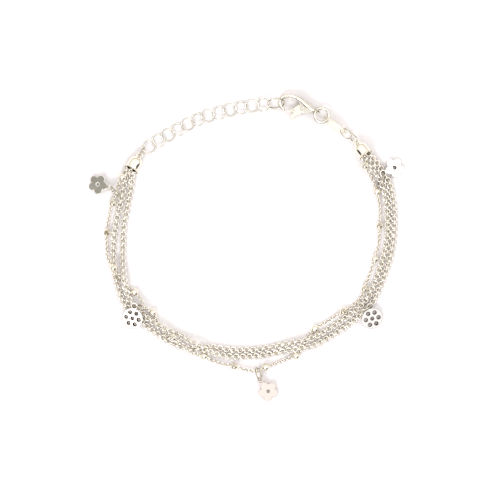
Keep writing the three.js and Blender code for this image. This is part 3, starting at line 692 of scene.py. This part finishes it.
def plate(outlines, thickness, edges):
    """A plate in XY, with one size of edge or one for each outline. The first outline runs
    anticlockwise and holes run clockwise, so metal is always on the left. The flats are the
    triangles between the rims that don't have all three corners on one hole."""
    edges = np.broadcast_to(edges, len(outlines))
    points, faces = joined([rounded_rim(outline, thickness, edge)
                            for outline, edge in zip(outlines, edges)])
    sizes = [len(outline) for outline in outlines]
    starts = np.cumsum([0] + [size * RIM_ROWS for size in sizes])
    low = np.concatenate([start + np.arange(size) for start, size in zip(starts, sizes)])
    high = np.concatenate([start + (RIM_ROWS - 1) * size + np.arange(size)
                           for start, size in zip(starts, sizes)])
    loop = np.repeat(np.arange(len(sizes)), sizes)
    firsts = np.cumsum([0] + sizes)
    borders = [(first + step, first + (step + 1) % size)
               for first, size in zip(firsts, sizes) for step in range(size)]
    corners = [tuple(corner) for corner in points[high, :2].tolist()]
    inside_only, tolerance = 1, 1e-7
    fill = np.array(delaunay_2d_cdt(corners, borders, [], inside_only, tolerance)[2])
    in_hole = (loop[fill] == loop[fill[:, :1]]).all(axis=1) & (loop[fill[:, 0]] > 0)
    fill = fill[~in_hole]
    return points, faces + high[fill].tolist() + low[fill[:, ::-1]].tolist()


def plate_tone(outlines, rim, hole_rims):
    """Tone for a plate's points: rim round its edge, hole_rims in its holes, 0 on its flats."""
    shares = [rim] + [hole_rims] * (len(outlines) - 1)
    return np.concatenate([np.repeat([0, *[share] * (2 * EDGE_STEPS), 0], len(outline))
                           for outline, share in zip(outlines, shares)])


def circle(x, y, radius, count=28, clockwise=False):
    """A round outline: (x + radius cos a, y + radius sin a)."""
    a = np.linspace(0, 2 * np.pi, count, endpoint=False) * (-1 if clockwise else 1)
    return np.stack([x + radius * np.cos(a), y + radius * np.sin(a)], axis=1)


# %% [markdown]
# ## Oval tag
# A small plain oval of sheet silver joins the clasp to the chain, with a hole at each end. It
# stands half on edge, and it carries no mark. Holes could be cut out of an oval with booleans,
# but the plate above takes them as outlines, and so gives them the same soft edge.

# %% Tag
TAG_LENGTH, TAG_WIDTH, TAG_THICKNESS = 6.3, 2.5, 0.5
TAG_HOLE, TAG_HOLE_PLACE = 0.56, 2.2
TAG_EDGE = 0.1
TAG_MIDDLE, TAG_HEADING, TAG_ROLL = (20.5, 27.95, 1.4), -36, 62
oval = circle(0, 0, 1, count=64) * [TAG_LENGTH / 2, TAG_WIDTH / 2]
tag_holes = [circle(side * TAG_HOLE_PLACE, 0, TAG_HOLE, clockwise=True) for side in (-1, 1)]
tag = plate([oval, *tag_holes], TAG_THICKNESS, TAG_EDGE)
make_piece("sheet_silver_tag", placed(tag, TAG_MIDDLE, turned(TAG_HEADING, TAG_ROLL)),
           cast_silver, ["oval_tag"])

# %% [markdown]
# ## Lobster clasp
# The clasp is cast in two pieces. The body is a hook that grows out of a thick spine, with a
# cheek on each side of a slot and an eye at the tail. The lever turns on a rivet between the
# cheeks: one end is the gate that closes the hook, the other is a tab for the thumb. Both hook
# and gate are rods with an oval section that thins towards the tip, so a section whose two
# half widths change along a path gives their shape.

# %% Rods of changing section
ROD_ROWS, ROD_SECTION, ROD_END_ROWS = 40, 14, 6


def rod(path, width, height):
    """An oval section carried along a path. Its half width to the side and half height are
    read at each share of the path's length from width and height, each (shares, half sizes).
    Both ends are rounded: the section shrinks by sqrt(1 - back^2), where back runs from 1 at
    the tip to 0 at the end of the path."""
    path = along(path, np.linspace(0, distances(path)[-1], ROD_ROWS))
    s = distances(path) / distances(path)[-1]
    forward = unit(np.gradient(path, axis=0))
    side = unit(np.cross([0.0, 0.0, 1.0], forward))
    up = np.cross(forward, side)
    half_width, half_height = np.interp(s, *width)[:, None], np.interp(s, *height)[:, None]
    c = np.linspace(0, 2 * np.pi, ROD_SECTION, endpoint=False)[None, :, None]
    around = (half_width[:, None] * np.cos(c) * side[:, None]
              + half_height[:, None] * np.sin(c) * up[:, None])
    back = 1 - np.linspace(0, 1, ROD_END_ROWS)[:-1, None, None]
    shrink = np.sqrt(1 - back**2)
    first = path[0] - back * half_width[0] * forward[0] + shrink * around[0]
    last = path[-1] + back * half_width[-1] * forward[-1] + shrink * around[-1]
    rows = np.concatenate([first, path[:, None] + around, last[::-1]])
    return rows.reshape(-1, 3), grid_faces(len(rows), ROD_SECTION)


# %% Clasp
CLASP_MIDDLE = (10.05, 33.2, 1.3)    # the middle of the hook's opening
HOOK_ROUTE = [(2.9, 0.5), (2.3, 0.82), (1.4, 1.24), (0.0, 1.58), (-1.4, 1.24), (-2.15, 0.14),
              (-2.0, -0.8), (-1.35, -1.6)]
GATE_ROUTE = [(2.6, -0.6), (1.7, -1.1), (0.9, -1.75), (0.1, -2.0), (-0.55, -1.95)]
RIDGE_ROUTE = [(1.9, 1.0), (2.6, 0.52), (3.3, -0.08), (4.1, -0.8), (4.9, -1.45), (5.5, -1.75)]
BACK_ROUTE = [(2.3, 0.85), (2.95, 0.5), (3.75, -0.02), (4.6, -0.75), (5.3, -1.35)]
RIDGE_HEIGHT = 0.85
CHEEK_OUTLINE = [(5.4, -1.65), (4.7, -1.05), (3.7, -0.2), (2.8, 0.45), (2.2, 0.65), (2.05, 0.2),
                 (2.35, -0.5), (2.45, -1.6), (3.0, -2.3), (4.2, -2.5), (5.3, -2.3)]
TAB_OUTLINE = [(3.1, -0.7), (2.3, -0.65), (1.6, -1.1), (1.1, -2.0), (0.7, -2.7), (0.12, -3.15),
               (0.15, -3.5), (0.47, -3.9), (0.95, -3.7), (1.7, -3.1), (2.6, -2.75), (3.3, -1.8)]
CHEEK_HEIGHT, CHEEK_THICKNESS, CHEEK_EDGE = 0.66, 0.34, 0.12
RIVET = (3.3, -1.15)
RIVET_PROFILE = [(-0.94, 0), (-0.93, 0.14), (-0.88, 0.26), (-0.8, 0.3),
                 (0.8, 0.3), (0.88, 0.26), (0.93, 0.14), (0.94, 0)]
TAIL_EYE, TAIL_EYE_HEADING = (6.1, -1.75, 0), -30
TAIL_EYE_RADIUS, TAIL_EYE_WIRE = 0.8, 0.25
# The hook's tone paints a dark reflection along its sides, as an outline; the cheeks get an even
# light brown tint.
HOOK_OUTLINE, CHEEK_TINT = 0.9, 0.22    # tone along the hook's sides, and all over the cheeks


def level_path(rows):
    """A smooth path through (x, y) rows, level at z = 0, with 8 points for each row."""
    path = smooth_path(rows, 8)
    return np.column_stack([path, np.zeros(len(path))])


hook = rod(level_path(HOOK_ROUTE), width=([0, 0.3, 0.7, 1], [0.4, 0.4, 0.44, 0.36]),
           height=([0, 0.35, 0.75, 1], [1.0, 0.7, 0.48, 0.42]))
ridge_path = level_path(RIDGE_ROUTE)
rolls = [rod(ridge_path + [0, 0, lift], ([0, 0.5, 1], [0.42, 0.5, 0.4]), ([0, 1], [0.4, 0.4]))
         for lift in (-RIDGE_HEIGHT, RIDGE_HEIGHT)]
rolls.append(rod(level_path(BACK_ROUTE), ([0, 1], [0.34, 0.34]), ([0, 1], [0.7, 0.7])))
cheek = plate([smooth_path(CHEEK_OUTLINE, 6, closed=True)], CHEEK_THICKNESS, CHEEK_EDGE)
cheeks = [placed(cheek, (0, 0, height)) for height in (CHEEK_HEIGHT, -CHEEK_HEIGHT)]
rivet = turned_profile(RIVET_PROFILE, around=20)
tail_eye = placed(wire_ring(TAIL_EYE_RADIUS, TAIL_EYE_WIRE), TAIL_EYE,
                  turned(TAIL_EYE_HEADING) @ turned(roll=90))
body = joined([hook, *rolls, *cheeks, placed(rivet, (*RIVET, 0), turned(pitch=90)), tail_eye])
# Painted dark outlines along the sides of the hook, the ridge rolls and the tail eye.
body_tone = np.concatenate([
    painted_outline_tone(hook, ROD_SECTION, HOOK_OUTLINE), *[painted_outline_tone(roll, ROD_SECTION) for roll in rolls],
    np.full(2 * len(cheek[0]), CHEEK_TINT), np.zeros(len(rivet[0])),
    painted_outline_tone(tail_eye, RING_SECTION)])
make_piece("cast_clasp_body", placed(body, CLASP_MIDDLE), cast_silver, ["clasp_body"],
           tone=body_tone)

# %% Lever
TAB_THICKNESS, TAB_EDGE = 0.8, 0.12
HUB_RADIUS, HUB_BORE, HUB_THICKNESS, HUB_EDGE = 0.6, 0.38, 0.84, 0.08
gate = rod(level_path(GATE_ROUTE), ([0, 1], [0.36, 0.34]), ([0, 0.5, 1], [0.45, 0.4, 0.36]))
tab = plate([smooth_path(TAB_OUTLINE, 5, closed=True)], TAB_THICKNESS, TAB_EDGE)
hub = plate([circle(*RIVET, HUB_RADIUS), circle(*RIVET, HUB_BORE, clockwise=True)],
            HUB_THICKNESS, HUB_EDGE)
make_piece("cast_clasp_lever", placed(joined([gate, tab, hub]), CLASP_MIDDLE), cast_silver,
           ["clasp_lever"], body="lever")

# %% [markdown]
# ## Charms
# The charms are stamped from sheet and tumbled: three plain flowers with five round petals, and
# two discs with a ring of small holes. Each ends in an eye for its jump ring. Five round plates
# could be joined into a flower, but that leaves slivers where they cross. Here a flower's edge
# is the furthest point of any petal in each direction. The eye's round end is then joined on
# with a short neck. One flower is dark grey, with a painted glint along its edges, and one has a
# warm satin finish. The others carry painted shade in their holes and a faint painted outline.

# %% Charm outlines
PETALS, PETAL_CIRCLE, PETAL_RADIUS = 5, 1.35, 0.95
EYE_RADIUS, EYE_HOLE, HALF_NECK = 0.8, 0.5, 0.38
DISC_RADIUS = 2.4
EDGE_POINTS, EYE_POINTS = 150, 26


def with_eye(radius_at, reach):
    """A plate's edge, given as its radius in each direction, with an eye at distance reach
    along +X. The edge stops at half the neck's width from the X axis, and the eye's circle
    takes over there, as far round as the neck leaves it."""
    a = np.linspace(0, 2 * np.pi, EDGE_POINTS, endpoint=False)
    edge = radius_at(a)[:, None] * np.stack([np.cos(a), np.sin(a)], axis=1)
    edge = edge[(np.abs(edge[:, 1]) > HALF_NECK) | (edge[:, 0] < 0)]
    sweep = np.pi - np.arcsin(HALF_NECK / EYE_RADIUS)
    b = np.linspace(-sweep, sweep, EYE_POINTS)
    eye = np.stack([reach + EYE_RADIUS * np.cos(b), EYE_RADIUS * np.sin(b)], axis=1)
    return np.concatenate([edge, eye])


def petal_edge(a):
    """The furthest petal: for one centred at distance c and angle d away, the far side of its
    circle is at c cos d + sqrt(r^2 - (c sin d)^2)."""
    d = a[:, None] - np.arange(PETALS) * 2 * np.pi / PETALS
    under = PETAL_RADIUS**2 - (PETAL_CIRCLE * np.sin(d))**2
    far = PETAL_CIRCLE * np.cos(d) + np.sqrt(np.maximum(under, 0))
    return np.where((under > 0) & (np.cos(d) > 0), far, 0).max(axis=1)


FLOWER_REACH, DISC_REACH = 3.1, 3.0
CHARM_THICKNESS, CHARM_EDGE, EYE_EDGE, HOLE_EDGE = 0.5, 0.1, 0.08, 0.16
CENTRE_HOLE = 0.32
HOLES, HOLE_CIRCLE, HOLE = 6, 1.52, 0.36    # in a disc
centre_hole = circle(0, 0, CENTRE_HOLE, clockwise=True)
flower_outlines = [with_eye(petal_edge, FLOWER_REACH), centre_hole,
                   circle(FLOWER_REACH, 0, EYE_HOLE, clockwise=True)]
ring_of_holes = [circle(HOLE_CIRCLE * np.cos(a), HOLE_CIRCLE * np.sin(a), HOLE, clockwise=True)
                 for a in (np.arange(HOLES) + 0.5) * 2 * np.pi / HOLES]
disc_outlines = [with_eye(lambda a: np.full_like(a, DISC_RADIUS), DISC_REACH), centre_hole,
                 *ring_of_holes, circle(DISC_REACH, 0, EYE_HOLE, clockwise=True)]
print("points round a flower and a disc:", len(flower_outlines[0]), len(disc_outlines[0]))


def leaning(heading, tilt, rise):
    """Turned by heading about Z, then leaned by tilt so that the side at angle rise goes up.
    The lean is Rodrigues' formula about K = (sin rise, -cos rise, 0): I + sin K + (1 - cos) K^2."""
    tilt, rise = np.radians([tilt, rise])
    x, y = np.sin(rise), -np.cos(rise)
    k = np.array([[0, 0, y], [0, 0, -x], [-y, x, 0]])
    return (np.eye(3) + np.sin(tilt) * k + (1 - np.cos(tilt)) * k @ k) @ turned(heading)


# %% Charms in their places
# Painted shade in every hole.
HOLE_SHADE = 1.0                      # tone in every hole
# The rim tone paints a faint dark outline round a stamped charm, and a bright glint round the dark
# grey flower, whose holes take its bright colour too.
CHARMS = [
    # name, outlines, middle, heading, tilt, rise, finish, tone of the rim
    ("left_flower", flower_outlines, (-33.9, 14.4, 0.9), -15, 14, 5, dark_grey_silver, 0.9),
    ("left_disc", disc_outlines, (-25.9, -16.3, 1.5), 79, 23, 43, stamped_silver, 0.2),
    ("bottom_flower", flower_outlines, (5.2, -33.1, 0.9), 124, 13.5, 124, blush_silver, 0.2),
    ("right_disc", disc_outlines, (29.05, -16.4, 1.1), 101, 17.5, 134, stamped_silver, 0.2),
    ("right_flower", flower_outlines, (34.2, 18.2, 1.0), 206, 16.5, 206, stamped_silver, 0.2),
]
for name, outlines, middle, heading, tilt, rise, finish, rim in CHARMS:
    hole_edges = [HOLE_EDGE] * (len(outlines) - 2)
    shape = plate(outlines, CHARM_THICKNESS, [CHARM_EDGE, *hole_edges, EYE_EDGE])
    make_piece(f"stamped_{name}", placed(shape, middle, leaning(heading, tilt, rise)), finish,
               [f"{name}_charm"], tone=plate_tone(outlines, rim, HOLE_SHADE))
    ring_piece(f"open_{name}_ring", f"{name}_jump_ring", JUMP_GAP)
